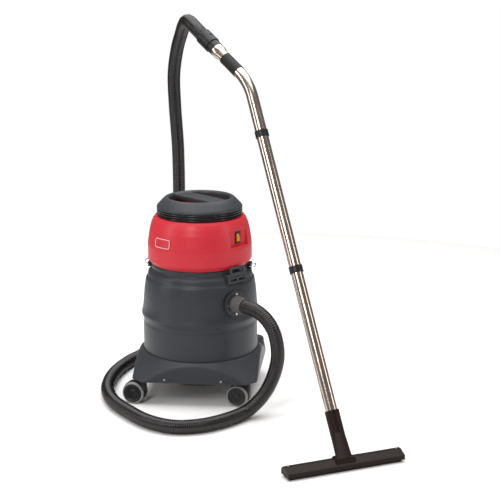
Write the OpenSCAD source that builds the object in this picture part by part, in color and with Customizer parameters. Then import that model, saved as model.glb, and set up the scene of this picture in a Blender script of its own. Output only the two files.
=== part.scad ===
// Commercial wet and dry shop vacuum: a round tank on a four-caster base, a lift-off motor head
// with its mains cable wound under the handle lid, and a suction hose, bent steel wand and floor tool.
// Millimetres. Origin: the floor point under the tank's axis. +Z up, the base's front faces -Y.

/* [Tank] */
// Outer radius of the tank at its belt
tank_r = 204; // [180:1:250]
// Height of the tank's rim above the floor
tank_top = 458; // [430:1:560]
// Wall of the tank
tank_wall = 4; // [3:0.5:6]
// Outer radius of the tank's neck, under the head
neck_r = 167; // [158:1:176]

/* [Base and casters] */
// Half the width of the square base
base_half = 215; // [208:1:240]
// Height of the base's lower edge above the floor
base_bottom = 82; // [80:1:96]
// Radius of the caster wheels
wheel_r = 37.5; // [31:0.5:38.5]
// Distance of each caster's swivel axis from the base's middle planes
caster_at = 178; // [165:1:182]
// Sideways offset of a caster's axle from its swivel axis
caster_trail = 27; // [20:1:30]

/* [Head] */
// Outer radius of the head housing
head_r = 179; // [172:1:186]
// Height of the head housing from its seam to the cable deck
head_h = 163; // [150:1:200]
// Diameter of the mains cable
cable_d = 8; // [7:0.5:9]
// Outer radius of the handle lid
lid_r = 147; // [140:1:152]

/* [Hose and wand] */
// Outer diameter of the ribbed suction hose
hose_d = 47; // [40:1:50]
// Outer diameter of the steel wand tubes
tube_d = 38; // [32:1:40]
// Length of each straight steel tube
tube_len = 500; // [420:1:600]
// Width of the floor tool
tool_w = 390; // [320:5:460]
// Lean of the straight wand from the vertical
wand_lean = 28; // [24:1:34]

/* [Hidden] */
$fn = 96;

anthracite = [0.24, 0.26, 0.29];
black = [0.07, 0.07, 0.07];
red = [0.75, 0.09, 0.11];
steel = [0.72, 0.70, 0.67];
grey = [0.66, 0.67, 0.68];
amber = [0.85, 0.45, 0.08];
foam_grey = [0.3, 0.3, 0.3];
cloth = [0.86, 0.84, 0.78];
copper = [0.62, 0.36, 0.2];
run_gap = 0.05;
tyre_t = 5.5;
rim_r = wheel_r - tyre_t;
stem_r = 5.5;
// How far a caster's stem goes up into the base
stem_rise = 17;

// Tank
r_k = tank_r / 204;
inlet_angle = -46.5;
inlet_z = tank_top - 108;
inlet_bore = 19;
spigot_r = 24;
dish_z = 48;
seat_z = base_bottom + 50;
seam_z = base_bottom + 73;
belt_z = seam_z + 128;

// Outer outline of the tank from the middle of its floor to the rim, as [radius, height]
tank_outer = [
    [0, dish_z], [0.66 * tank_r, dish_z], [0.71 * tank_r, dish_z + 9], [0.72 * tank_r, seat_z - 18],
    [0.93 * tank_r, seat_z], [0.97 * tank_r, seam_z - 12], [0.971 * tank_r, seam_z],
    [0.971 * tank_r, belt_z - 26], [0.964 * tank_r, belt_z - 22], [0.966 * tank_r, belt_z - 17],
    [0.986 * tank_r, belt_z - 11], [tank_r, belt_z - 2], [tank_r, belt_z + 2],
    [0.985 * tank_r, belt_z + 14], [0.971 * tank_r, belt_z + 32], [0.966 * tank_r, belt_z + 46],
    [0.957 * tank_r, belt_z + 68], [0.942 * tank_r, belt_z + 98],
    [0.928 * tank_r, tank_top - 62], [0.925 * tank_r, tank_top - 51], [0.888 * tank_r, tank_top - 44],
    [0.885 * tank_r, tank_top - 37], [0.86 * tank_r, tank_top - 24], [neck_r, tank_top - 18],
    [neck_r, tank_top]
];
// The cavity's outline: the outer one moved in by the wall
tank_inner = concat(
    [[0, dish_z + tank_wall], [0.66 * tank_r - 3, dish_z + tank_wall]],
    [for (i = [2 : len(tank_outer) - 2]) [tank_outer[i][0] - tank_wall, tank_outer[i][1] + 2]],
    [[neck_r - tank_wall, tank_top - 17], [neck_r - tank_wall, tank_top + 1], [0, tank_top + 1]]
);

// Head
seam_gap = 3;
head_z = tank_top + seam_gap;
deck_z = head_z + head_h;
housing_wall = 3.5;
cable_rows = 3;
cable_pitch = cable_d + 0.2;
groove_h = cable_rows * cable_pitch + 1;
lid_z = deck_z + groove_h;
lid_h = 38;
coil_r = lid_r;
drum_r = coil_r - cable_rows * cable_pitch - 0.4;
opening_r = 104;
// Outer outline of the housing's side, from the seam to the cable deck
housing_side = [
    [neck_r + 1, head_z], [head_r, head_z + 15], [head_r, head_z + 0.39 * head_h],
    [head_r - 1.4, head_z + 0.48 * head_h], [head_r - 4.5, head_z + 0.61 * head_h],
    [head_r - 8, head_z + 0.74 * head_h], [head_r - 14, head_z + 0.87 * head_h],
    [head_r - 20, head_z + 0.95 * head_h], [head_r - 26, deck_z]
];
floor_drop = 22;
bar_angle = -41.5;
bar_shift = 14;
bar_w = 66;
panel_angle = -31.5;
panel_at = head_r - 16;
panel_w = 92;
panel_z = head_z + 74;
switch_z = head_z + 104;
rocker_tilt = 10;
badge_angle = -128.5;
badge_z = head_z + 89;
badge_w = 74;
badge_h = 36;

// Head fastenings
bail_z = tank_top - 8;
bail_pivot = neck_r + 8;
bail_half = 27;
bail_reach = 17;
bail_wire = 1.6;
latch_angle = -40.5;
latch_w = 80;
latch_pivot = head_r + 7;
latch_pivot_z = tank_top - 14;

// Motor
motor_z = head_z + 8;
fan_r = 62;
shaft_r = 4;
float_r = 32;

// Wand, in its own line: foot where the tool's socket ends, corner where the two straight lines meet
wand_turn = 125.5;
upper_turn = 140.5;
upper_lean = 57.5;
wand_foot = [481 * r_k, -597 * r_k, 148];
bent_leg = 124;
corner_at = 2 * tube_len + 77;
function heading(turn, lean) = [cos(turn) * sin(lean), sin(turn) * sin(lean), cos(lean)];
wand_dir = heading(wand_turn, wand_lean);
upper_dir = heading(upper_turn, upper_lean);
wand_corner = wand_foot + corner_at * wand_dir;
bend_angle = acos(wand_dir * upper_dir);
bend_r = 190;
bend_reach = bend_r * tan(bend_angle / 2);
tube_wall = 1.2;
grip_from = 55;
grip_len = 74;
flare_at = 143;
upper_len = 175;
flare_r = tube_d / 2 + 4;
cuff_r = hose_d / 2 + 3.5;
cuff_len = 52;
cuff_step = 24;
hose_from = upper_len + cuff_step + cuff_len;
hose_gap = 0.4;
hose_end = wand_corner + (hose_from + hose_gap) * upper_dir;

// Hose route, from the tank's cuff to the wand's cuff
cuff_out = 46;
inlet_dir = [cos(inlet_angle), sin(inlet_angle), 0];
inlet_face = 0.985 * tank_r + 5;
hose_start = (inlet_face + cuff_out) * inlet_dir + [0, 0, inlet_z];
inlet_run = [
    [211, -219, 350], [248, -250, 332], [276, -272, 298], [289, -277, 252], [291, -272, 205],
    [283, -264, 160], [268, -262, 116], [246, -268, 76], [219, -287, 47]
];
floor_run = [
    [184, -313, 25], [125, -387, 24], [51, -442, 24], [-36, -457, 24], [-122, -415, 24], [-199, -334, 24],
    [-264, -245, 24], [-306, -142, 24], [-322, -35, 24], [-318, 75, 24], [-294, 184, 24], [-255, 277, 26]
];
rise_run = [
    [-209, 349, 58], [-171, 405, 130], [-149, 435, 240], [-140, 445, 400], [-137, 442, 600],
    [-137, 430, 780], [-142, 403, 940], [-137, 352, 1060], [-114, 281, 1158], [-86, 205, 1223],
    [-62, 120, 1262], [-37, 40, 1275], [-9, -16, 1260]
];
hose_route = concat(
    [hose_start],
    [for (p = inlet_run) [p[0] * r_k, p[1] * r_k, p[2] * inlet_z / 350]],
    [for (p = floor_run) [p[0] * r_k, p[1] * r_k, p[2]]],
    [for (p = rise_run) [p[0] * r_k, p[1] * r_k, p[2]]],
    [hose_end]
);
hose_wall = 2.5;
hose_sides = 12;

// Cable tail and plug, behind the lid
tail_angle = 99.5;
gland_angle = 55.5;
plug_at = coil_r + 25;
plug_z = deck_z + 10;
plug_r = 17;
plug_len = 46;
tail_route = [for (k = [0 : 3]) let (a = tail_angle - 32 + 8 * k, r = coil_r + cable_d / 2 + 7 * k * k / 3)
    [r * cos(a), r * sin(a), plug_z + 11 - 3.6 * k]];
plug_mouth = [plug_at * cos(tail_angle), plug_at * sin(tail_angle), plug_z];

// Smooth curve through a list of points
function between(a, b, c, d, t) = 0.5 * (2 * b + (c - a) * t + (2 * a - 5 * b + 4 * c - d) * t * t
    + (3 * b - a - 3 * c + d) * t * t * t);
function smooth(p, steps) = let (n = len(p) - 1) concat(
    [for (i = [0 : n - 1], s = [0 : steps - 1])
        between(p[max(i - 1, 0)], p[i], p[i + 1], p[min(i + 2, n)], s / steps)],
    [p[n]]);
function unit(v) = v / norm(v);
function tangents(c) = [for (i = [0 : len(c) - 1])
    unit(c[min(i + 1, len(c) - 1)] - c[max(i - 1, 0)])];
// Each ring's side vector is carried on from the one before, so the tube doesn't twist
function sides(t, start) = [for (i = 0, v = start; i < len(t);
    i = i + 1, v = i < len(t) ? unit(v - (v * t[i]) * t[i]) : v) v];
function rings(c, radii, n, t) = let (s = sides(t, unit(cross(t[0], [0.1, 0.2, 1]))))
    [for (i = [0 : len(c) - 1], k = [0 : n - 1])
        c[i] + radii[i] * (cos(360 * k / n) * s[i] + sin(360 * k / n) * cross(t[i], s[i]))];

// A hollow tube swept along a curve, with a radius at each point; the end directions are set
module swept_tube(curve, radii, wall, n, start_dir, end_dir) {
    m = len(curve);
    raw = tangents(curve);
    t = [for (i = [0 : m - 1]) i == 0 ? start_dir : i == m - 1 ? end_dir : raw[i]];
    outer = rings(curve, radii, n, t);
    inner = rings(curve, [for (r = radii) r - wall], n, t);
    o = m * n;
    side = [for (i = [0 : m - 2], k = [0 : n - 1])
        [i * n + k, i * n + (k + 1) % n, (i + 1) * n + (k + 1) % n, (i + 1) * n + k]];
    bore = [for (f = side) [f[3] + o, f[2] + o, f[1] + o, f[0] + o]];
    mouth = [for (k = [0 : n - 1]) [o + k, o + (k + 1) % n, (k + 1) % n, k]];
    far = [for (f = mouth) [for (j = [3 : -1 : 0]) f[j] + (m - 1) * n]];
    polyhedron(concat(outer, inner), concat(side, bore, mouth, far));
}

// A solid cord swept along a curve
module swept_cord(curve, r, n) {
    m = len(curve);
    pts = rings(curve, [for (p = curve) r], n, tangents(curve));
    side = [for (i = [0 : m - 2], k = [0 : n - 1])
        [i * n + k, i * n + (k + 1) % n, (i + 1) * n + (k + 1) % n, (i + 1) * n + k]];
    near = [for (k = [n - 1 : -1 : 0]) k];
    far = [for (k = [0 : n - 1]) (m - 1) * n + k];
    polyhedron(pts, concat(side, [near, far]));
}

module ring(r_out, r_in, h) {
    rotate_extrude() translate([r_in, 0]) square([r_out - r_in, h]);
}

// Turns a child about the axis to a compass angle, its +X then pointing outward
module facing(angle) {
    rotate([0, 0, angle]) children();
}

// Child's +X axis points out of the tank at the inlet
module at_inlet() {
    facing(inlet_angle) translate([0, 0, inlet_z]) children();
}

// Child's +Z axis runs up the straight wand from its foot
module on_wand() {
    translate(wand_foot) rotate([0, 0, wand_turn]) rotate([0, wand_lean, 0]) children();
}

// Child's +Z axis runs up the wand's upper leg from the corner
module on_upper() {
    translate(wand_corner) rotate([0, 0, upper_turn]) rotate([0, upper_lean, 0]) children();
}

// ---- Tank, base and what is fixed to them ----

module tank_form() {
    rotate_extrude($fn = 144) polygon(concat(tank_outer, [[0, tank_top]]));
}

module flange_screw_holes() {
    at_inlet() for (a = [0 : 90 : 270]) rotate([a, 0, 0]) translate([inlet_face - 20, 0, 34])
        rotate([0, 90, 0]) cylinder(r = 2.5, h = 30);
}

module tank() {
    color(anthracite) difference() {
        union() {
            tank_form();
            // Raised rings pressed into the wall round the inlet
            at_inlet() for (r = [50, 58]) rotate([0, 90, 0]) intersection() {
                ring(r, r - 3.5, tank_r);
                rotate([0, -90, 0]) facing(-inlet_angle) translate([0, 0, -inlet_z]) rotate_extrude($fn = 144)
                    polygon([for (p = concat(tank_outer, [[0, tank_top]])) [p[0] > 0 ? p[0] + 2 : 0, p[1]]]);
            }
        }
        rotate_extrude($fn = 144) polygon(tank_inner);
        at_inlet() translate([tank_r / 2, 0, 0]) rotate([0, 90, 0]) cylinder(r = spigot_r, h = tank_r);
        at_inlet() translate([inlet_face - 5, 0, 0]) rotate([0, 90, 0]) cylinder(r = 44, h = 20);
        flange_screw_holes();
    }
}

base_screw_at = [for (x = [-96, 96]) [x, base_bottom + 14]];
corner_r = 45;
ear = base_half - corner_r;
skirt_r = 0.971 * tank_r + 8;

module rounded_square(half, r) {
    translate([-half + r, -half + r]) offset(r = r, $fn = 64) square(2 * half - 2 * r);
}

// Taller corner behind the tank
module rear_ear(side) {
    hull() {
        translate([side * ear, ear, base_bottom]) cylinder(r = corner_r, h = 12, $fn = 48);
        translate([side * (ear - 4), ear - 6, seam_z - 22]) cylinder(r = corner_r - 8, h = 6, $fn = 48);
        translate([side * (ear - 30), ear - 24, seam_z - 14]) cylinder(r = corner_r + 6, h = 8, $fn = 48);
    }
}

// A cone falling from the tank's seam, cut off square at the sides
module base() {
    color(anthracite) difference() {
        union() {
            intersection() {
                translate([0, 0, base_bottom]) cylinder(r1 = skirt_r + seam_z - base_bottom, r2 = skirt_r,
                    h = seam_z - base_bottom, $fn = 144);
                translate([0, 0, base_bottom]) linear_extrude(seam_z - base_bottom)
                    rounded_square(base_half, corner_r);
            }
            for (s = [-1, 1]) rear_ear(s);
        }
        tank_form();
        // Hollow underside between the four caster bosses
        difference() {
            translate([0, 0, base_bottom - 1]) linear_extrude(27) rounded_square(base_half - 7, corner_r - 7);
            for (x = [-1, 1], y = [-1, 1]) translate([x * base_half, y * base_half, base_bottom - 2])
                cylinder(r = 95, h = 30);
        }
        for (x = [-1, 1], y = [-1, 1]) translate([x * caster_at, y * caster_at, base_bottom - 1])
            cylinder(r = stem_r + run_gap, h = stem_rise + 2);
        for (p = base_screw_at) translate([p[0], -base_half, p[1]]) rotate([-90, 0, 0])
            translate([0, 0, -1]) cylinder(r = 2.5, h = 14);
    }
}

// A round-head screw along +X from the face at x = 0
module face_screw(shank) {
    rotate([0, 90, 0]) cylinder(r = 4, h = 2.4);
    translate([-shank, 0, 0]) rotate([0, 90, 0]) cylinder(r = 2.5, h = shank);
}

module screws() {
    color(steel) {
        at_inlet() for (a = [0 : 90 : 270]) rotate([a, 0, 0]) translate([inlet_face, 0, 34]) face_screw(12);
        for (p = base_screw_at) translate([p[0], -base_half, p[1]]) facing(-90) face_screw(10);
    }
}

module inlet_flange() {
    color(anthracite) difference() {
        at_inlet() {
            translate([inlet_face - 5, 0, 0]) rotate([0, 90, 0]) cylinder(r = 44, h = 5);
            translate([tank_r - 50, 0, 0]) rotate([0, 90, 0]) cylinder(r = spigot_r, h = 50 + 22);
        }
        at_inlet() rotate([0, 90, 0]) cylinder(r = inlet_bore, h = 2 * tank_r);
        flange_screw_holes();
    }
}

module tank_cuff() {
    color(grey) at_inlet() translate([inlet_face, 0, 0]) rotate([0, 90, 0]) rotate_extrude()
        difference() {
            polygon(concat([[0, 0], [28, 0]],
                [for (i = [0 : 3], j = [0 : 3]) [j < 2 ? 28.5 : 26.5, 3 + 9 * i + [0, 4, 5, 8.6][j]]],
                [[cuff_r, cuff_out - 6], [cuff_r, cuff_out], [0, cuff_out]]));
            square(spigot_r);
            translate([0, -1]) square([hose_d / 2 - hose_wall, cuff_out + 2]);
        }
}

module hose() {
    line = smooth(hose_route, 2);
    color(black) swept_tube(line, [for (p = line) hose_d / 2], hose_wall, hose_sides, inlet_dir, -upper_dir);
}

// White bearing ring on the hose's end, on which the wand's cuff turns
module swivel_ring() {
    color(cloth) on_upper() translate([0, 0, hose_from - cuff_len + 16])
        ring(hose_d / 2 - 1, hose_d / 2 - 4, 36 + hose_gap);
}

module bail_bracket() {
    difference() {
        translate([neck_r - 6, -bail_half + 3, bail_z - 8]) cube([18, 2 * bail_half - 6, 15]);
        translate([0, 0, bail_z - 20]) cylinder(r = neck_r, h = 40);
        translate([bail_pivot, -bail_half, bail_z]) rotate([-90, 0, 0])
            cylinder(r = bail_wire + run_gap, h = 2 * bail_half);
    }
}

module bail_brackets() {
    color(black) for (a = [0, 180]) facing(a) bail_bracket();
}

// A bent wire: two inward ends, two legs and a crossbar, with round elbows
module wire_bail(tilt) {
    translate([bail_pivot, 0, bail_z]) rotate([0, -tilt, 0]) {
        for (s = [-1, 1]) {
            translate([0, s * bail_half, 0]) rotate([s * 90, 0, 0]) cylinder(r = bail_wire, h = 11, $fn = 24);
            translate([0, s * bail_half, 0]) sphere(r = bail_wire, $fn = 24);
            translate([0, s * bail_half, 0]) rotate([0, 90, 0])
                cylinder(r = bail_wire, h = bail_reach - 8, $fn = 24);
            translate([bail_reach - 8, s * (bail_half - 8), 0]) mirror([0, s < 0 ? 1 : 0, 0])
                rotate_extrude(angle = 90, $fn = 32) translate([8, 0]) circle(r = bail_wire, $fn = 24);
        }
        translate([bail_reach, -bail_half + 8, 0]) rotate([-90, 0, 0])
            cylinder(r = bail_wire, h = 2 * bail_half - 16, $fn = 24);
    }
}

module wire_bail_right() {
    color(steel) wire_bail(-6);
}

module wire_bail_left() {
    color(steel) facing(180) wire_bail(30);
}

// Lower loop of the front catch, screwed to the tank's shoulder, with a centre strut
module latch_bracket() {
    color(anthracite) facing(latch_angle) difference() {
        union() {
            translate([latch_pivot - 3, -latch_w / 2, latch_pivot_z - 11]) cube([6, latch_w, 6]);
            for (y = [-latch_w / 2, -3.5, latch_w / 2 - 7])
                translate([latch_pivot - 3, y, latch_pivot_z - 22]) cube([6, 7, 14]);
            translate([latch_pivot - 3, -latch_w / 2, latch_pivot_z - 26]) cube([6, latch_w, 6]);
            for (y = [-latch_w / 2, latch_w / 2 - 7])
                translate([neck_r - 6, y, latch_pivot_z - 11]) cube([latch_pivot - neck_r + 9, 7, 16]);
        }
        tank_form();
        translate([latch_pivot, -latch_w, latch_pivot_z]) rotate([-90, 0, 0])
            cylinder(r = 2, h = 2 * latch_w);
    }
}

module latch_pin() {
    color(steel) facing(latch_angle) translate([latch_pivot, -latch_w / 2, latch_pivot_z]) rotate([-90, 0, 0])
        cylinder(r = 2, h = latch_w);
}

// Upper frame of the front catch; it tips outward on the pin
module latch_frame() {
    w = latch_w - 15;
    color(anthracite) facing(latch_angle) difference() {
        union() {
            translate([latch_pivot - 2.5, -w / 2, latch_pivot_z]) cube([5, w, 29]);
            translate([latch_pivot, -w / 2, latch_pivot_z]) rotate([-90, 0, 0]) cylinder(r = 4, h = w);
        }
        translate([latch_pivot, -latch_w, latch_pivot_z]) rotate([-90, 0, 0])
            cylinder(r = 2 + run_gap, h = 2 * latch_w);
        translate([latch_pivot - 5, -w / 2 + 8, latch_pivot_z + 9]) cube([10, w - 16, 13]);
    }
}

// ---- Head ----

module head_plate() {
    color(black) translate([0, 0, head_z]) difference() {
        cylinder(r = neck_r - housing_wall - 4, h = 6);
        translate([0, 0, -1]) cylinder(r = 40, h = 10);
    }
}

function inside(p) = [p[0] - housing_wall, p[1]];
housing_outer = concat([[0, head_z]], housing_side, [[drum_r, deck_z], [drum_r, lid_z], [opening_r, lid_z],
    [opening_r, lid_z - floor_drop], [0, lid_z - floor_drop]]);
housing_inner = concat([[0, head_z - 1], [neck_r - housing_wall, head_z - 1]],
    [for (i = [1 : len(housing_side) - 2]) inside(housing_side[i])],
    [[head_r - 30, deck_z - housing_wall], [drum_r - housing_wall, deck_z - housing_wall],
    [0, lid_z - floor_drop - housing_wall]]);

module red_housing() {
    color(red) difference() {
        union() {
            rotate_extrude($fn = 144) polygon(housing_outer);
            facing(latch_angle) translate([head_r - 12, -18, head_z + 3]) cube([14, 36, 8]);
        }
        difference() {
            rotate_extrude($fn = 144) polygon(housing_inner);
            facing(panel_angle) translate([panel_at - housing_wall, -panel_w / 2 - housing_wall,
                panel_z - housing_wall]) cube([40, panel_w + 2 * housing_wall, head_h]);
        }
        facing(panel_angle) translate([panel_at, -panel_w / 2, panel_z]) cube([40, panel_w, head_h]);
        facing(panel_angle) translate([panel_at - 10, -10, switch_z - 17]) cube([20, 20, 34]);
        gland_place() translate([0, 0, -12]) cylinder(r = 6.5, h = 20);
    }
}

module gland_place() {
    translate([(drum_r + 12) * cos(gland_angle), (drum_r + 12) * sin(gland_angle), deck_z]) children();
}

module lid() {
    lid_outline = [
        [opening_r, lid_z], [lid_r, lid_z], [lid_r, lid_z + 4], [lid_r - 3, lid_z + 9],
        [lid_r - 10, lid_z + 17], [lid_r - 22, lid_z + 30], [lid_r - 29, lid_z + 36],
        [lid_r - 33, lid_h + lid_z], [lid_r - 37, lid_z + 37], [opening_r, lid_z + 32]
    ];
    color(anthracite) {
        rotate_extrude($fn = 144) polygon(lid_outline);
        intersection() {
            facing(bar_angle) translate([-opening_r - 6, bar_shift - bar_w / 2, lid_z + 14])
                cube([2 * opening_r + 12, bar_w, 19]);
            translate([0, 0, lid_z]) cylinder(r = opening_r + 0.2, h = lid_h, $fn = 144);
        }
    }
}

module tank_gasket() {
    color(black) translate([0, 0, tank_top + 0.2]) ring(neck_r - 1, neck_r - 14, seam_gap - 0.2);
}

module badge_plate() {
    color(red) intersection() {
        difference() {
            rotate_extrude($fn = 144) polygon(concat([[100, head_z]],
                [for (p = housing_side) [p[0] + 1.5, p[1]]], [[100, deck_z]]));
            rotate_extrude($fn = 144) polygon(concat([[0, head_z - 1]], housing_side, [[0, deck_z + 1]]));
        }
        facing(badge_angle) translate([120, 0, badge_z]) rotate([0, 90, 0]) linear_extrude(80) union() {
            square([badge_h - 16, badge_w], center = true);
            square([badge_h, badge_w - 16], center = true);
            for (x = [-1, 1], y = [-1, 1]) translate([x * (badge_h / 2 - 8), y * (badge_w / 2 - 8)])
                circle(r = 8);
        }
    }
}

module at_switch() {
    facing(panel_angle) translate([panel_at, 0, switch_z]) children();
}

module switch_bezel() {
    color(black) at_switch() difference() {
        union() {
            translate([0, -13, -20]) cube([3, 26, 40]);
            translate([-9, -10, -17]) cube([9, 20, 34]);
        }
        translate([-7, -8, -15]) cube([20, 16, 30]);
        translate([0, -11, 0]) rotate([-90, 0, 0]) cylinder(r = 1.5, h = 22);
    }
}

// Two flat pads meeting in a shallow V, pivoted at the middle
module rocker() {
    color(amber) at_switch() {
        difference() {
            rotate([0, -rocker_tilt, 0]) union() {
                translate([-2, -7.5, -13]) cube([6, 15, 26]);
                rotate([90, 0, 0]) translate([0, 0, -7.5]) cylinder(r = 4.5, h = 15);
            }
            translate([0, -12, 0]) rotate([-90, 0, 0]) cylinder(r = 1, h = 24);
        }
        translate([0, -9.8, 0]) rotate([-90, 0, 0]) cylinder(r = 1.5 - run_gap, h = 19.6);
    }
}

module motor_casing() {
    color(grey) translate([0, 0, motor_z]) difference() {
        union() {
            cylinder(r = fan_r + 8, h = 44);
            translate([0, 0, 44]) cylinder(r = 50, h = 64);
        }
        translate([0, 0, 3]) cylinder(r = fan_r + 5, h = 38);
        translate([0, 0, -1]) cylinder(r = 34, h = 10);
        translate([0, 0, 47]) cylinder(r = 46, h = 56);
        translate([0, 0, 30]) cylinder(r = 11, h = 90);
    }
}

module stator() {
    color(copper) translate([0, 0, motor_z + 52]) ring(45.9, 30, 40);
}

module rotor() {
    color(steel) translate([0, 0, motor_z]) union() {
        translate([0, 0, 12]) cylinder(r = shaft_r, h = 96);
        translate([0, 0, 54]) cylinder(r = 29, h = 36);
    }
}

module fan() {
    color(grey) translate([0, 0, motor_z + 12]) difference() {
        union() {
            cylinder(r = fan_r, h = 2);
            cylinder(r = 9, h = 20);
            translate([0, 0, 18]) cylinder(r = fan_r, h = 2);
            for (a = [0 : 45 : 315]) facing(a) translate([8, -1, 1]) cube([fan_r - 9, 2, 18]);
        }
        translate([0, 0, -1]) cylinder(r = shaft_r, h = 30);
    }
}

module bearings() {
    color(steel) for (z = [41, 103]) translate([0, 0, motor_z + z]) ring(11, shaft_r + run_gap, 5);
}

module exhaust_foam() {
    color(foam_grey) translate([0, 0, motor_z + 1]) ring(120, 84, 36);
}

module filter() {
    color(cloth) translate([0, 0, head_z - 131]) difference() {
        cylinder(r = 104, h = 131);
        translate([0, 0, 4]) cylinder(r = 98, h = 130);
    }
}

module float_cage() {
    color(black) translate([0, 0, head_z - 96]) {
        difference() {
            cylinder(r = float_r + 8, h = 96);
            translate([0, 0, 4]) cylinder(r = float_r + 4, h = 96);
            for (a = [0 : 45 : 135]) facing(a) translate([-60, -9, 12]) cube([120, 18, 72]);
        }
    }
}

module float() {
    color(cloth) translate([0, 0, head_z - 91]) cylinder(r = float_r, h = 56);
}

module mains_cable() {
    color(black) translate([0, 0, deck_z + 0.5]) ring(coil_r, drum_r + 0.3, groove_h - 1);
}

module cable_tail() {
    tail = smooth(concat(tail_route, [plug_mouth]), 2);
    color(black) swept_cord(tail, cable_d / 2 - 0.1, 8);
}

module cable_gland() {
    color(black) gland_place() difference() {
        union() {
            translate([0, 0, -10]) cylinder(r = 6.5, h = 10.5);
            translate([0, 0, -14]) cylinder(r = 9, h = 14 - housing_wall);
        }
        translate([0, 0, -20]) cylinder(r = cable_d / 2, h = 40);
    }
}

module at_plug() {
    translate(plug_mouth) facing(tail_angle + 90 + 6) children();
}

module plug() {
    color(black) at_plug() {
        rotate([0, 90, 0]) cylinder(r1 = 6, r2 = 8, h = 18);
        translate([18, 0, 0]) rotate([0, 90, 0]) cylinder(r = plug_r, h = plug_len - 18);
    }
}

module plug_pins() {
    color(steel) at_plug() for (s = [-1, 1]) translate([plug_len, 0, 9.5 * s]) rotate([0, 90, 0])
        cylinder(r = 2.4, h = 19);
}

// ---- Wand and floor tool ----

module wand_cuff() {
    color(black) on_upper() difference() {
        union() {
            translate([0, 0, upper_len]) cylinder(r = flare_r + 0.8, h = cuff_step);
            translate([0, 0, upper_len - 20]) cylinder(r = tube_d / 2 + 1.5, h = 21);
            translate([0, 0, upper_len + cuff_step]) cylinder(r = cuff_r, h = cuff_len);
        }
        translate([0, 0, upper_len - 30]) cylinder(r = inlet_bore - 2, h = 200);
        translate([0, 0, hose_from - cuff_len + 15]) cylinder(r = hose_d / 2 - 1 + 0.3, h = cuff_len);
        translate([-cuff_r - 5, -6, hose_from - cuff_len + 20]) cube([2 * cuff_r + 10, 12, 7]);
    }
}

// Points of the bent tube: the lower leg, the bend in steps of an arc, and the flared upper leg
bend_steps = 7;
bend_inward = unit(upper_dir - (upper_dir * wand_dir) * wand_dir);
bend_start = wand_corner - bend_reach * wand_dir;
bent_line = concat(
    [bend_start - bent_leg * wand_dir],
    [for (i = [0 : bend_steps]) let (a = bend_angle * i / bend_steps)
        bend_start + bend_r * (sin(a) * wand_dir + (1 - cos(a)) * bend_inward)],
    [for (z = [flare_at, flare_at + 12, upper_len]) wand_corner + z * upper_dir]
);
bent_radii = concat([for (i = [0 : bend_steps + 1]) tube_d / 2], [tube_d / 2, flare_r, flare_r]);

module bent_tube() {
    color(steel) swept_tube(bent_line, bent_radii, tube_wall, 36, wand_dir, upper_dir);
}

module grip() {
    color(black) on_upper() translate([0, 0, grip_from]) ring(tube_d / 2 + 1.6, tube_d / 2, grip_len);
}

bent_tube_foot = corner_at - bend_reach - bent_leg;
collar_at = [bent_tube_foot, bent_tube_foot - tube_len + 50];

module tube_collars() {
    color(black) on_wand() for (z = collar_at) translate([0, 0, z - 12])
        ring(tube_d / 2 + 2.8, tube_d / 2, 22);
}

module straight_tube(from, to) {
    on_wand() translate([0, 0, from]) ring(tube_d / 2, tube_d / 2 - tube_wall, to - from);
}

module tube_upper() {
    color(steel) straight_tube(collar_at[1], collar_at[0]);
}

module tube_lower() {
    color(steel) straight_tube(-40, collar_at[1]);
}

tool_turn = 28.5;
head_low = 8;
head_high = 34;
head_half = 26;
cavity_z = 22;
tool_mid = [523 * r_k, -693 * r_k];
sleeve_len = 74;
boss = [64, 36];

module at_tool() {
    translate([tool_mid[0], tool_mid[1], 0]) facing(tool_turn) children();
}

// The moulded neck: a sleeve for the wand, a leaning pipe, and a square foot let into the head
module tool_neck() {
    elbow = wand_foot - sleeve_len * wand_dir;
    color(black) difference() {
        union() {
            on_wand() translate([0, 0, -sleeve_len - 2]) cylinder(r = tube_d / 2 + 3.5, h = sleeve_len + 2);
            hull() {
                translate(elbow) sphere(r = tube_d / 2 + 3.2, $fn = 48);
                at_tool() translate([0, 0, head_high + 3]) scale([1.3, 0.8, 1])
                    cylinder(r = 20, h = 1, $fn = 48);
            }
            at_tool() hull() {
                translate([-boss[0] / 2, -boss[1] / 2, cavity_z])
                    cube([boss[0], boss[1], head_high - cavity_z]);
                translate([-boss[0] / 2 + 4, -boss[1] / 2 + 3, cavity_z])
                    cube([boss[0] - 8, boss[1] - 6, head_high - cavity_z + 6]);
            }
        }
        on_wand() translate([0, 0, -40]) cylinder(r = tube_d / 2, h = 60);
        on_wand() translate([0, 0, -sleeve_len - 3]) cylinder(r = tube_d / 2 - 3, h = sleeve_len);
        hull() {
            translate(elbow) sphere(r = tube_d / 2 - 3.4, $fn = 24);
            at_tool() translate([-20, -11, cavity_z - 1]) cube([40, 22, 2]);
        }
    }
}

// The head's cross-section, across its depth and its height
tool_section = [
    [-head_half, head_low], [head_half, head_low], [head_half, 24], [14, head_high], [0, head_high],
    [-head_half, 22]
];

module tool_head() {
    color(black) at_tool() difference() {
        translate([-tool_w / 2, 0, 0]) rotate([90, 0, 90]) linear_extrude(tool_w) polygon(tool_section);
        translate([-tool_w / 2 + 6, -18, head_low - 1]) cube([tool_w - 12, 36, cavity_z - head_low + 1]);
        translate([-boss[0] / 2, -boss[1] / 2, head_low]) cube([boss[0], boss[1], 60]);
        for (s = [-1, 1]) translate([s * (tool_w / 2 - 14), 7, 12]) cylinder(r = 2.5, h = 40);
    }
}

// Two rubber blades in the head's underside, on the floor
module squeegees() {
    color(black) at_tool() for (y = [-18, 15]) translate([-tool_w / 2 + 8, y, 0])
        cube([tool_w - 16, 3, cavity_z]);
}

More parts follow.
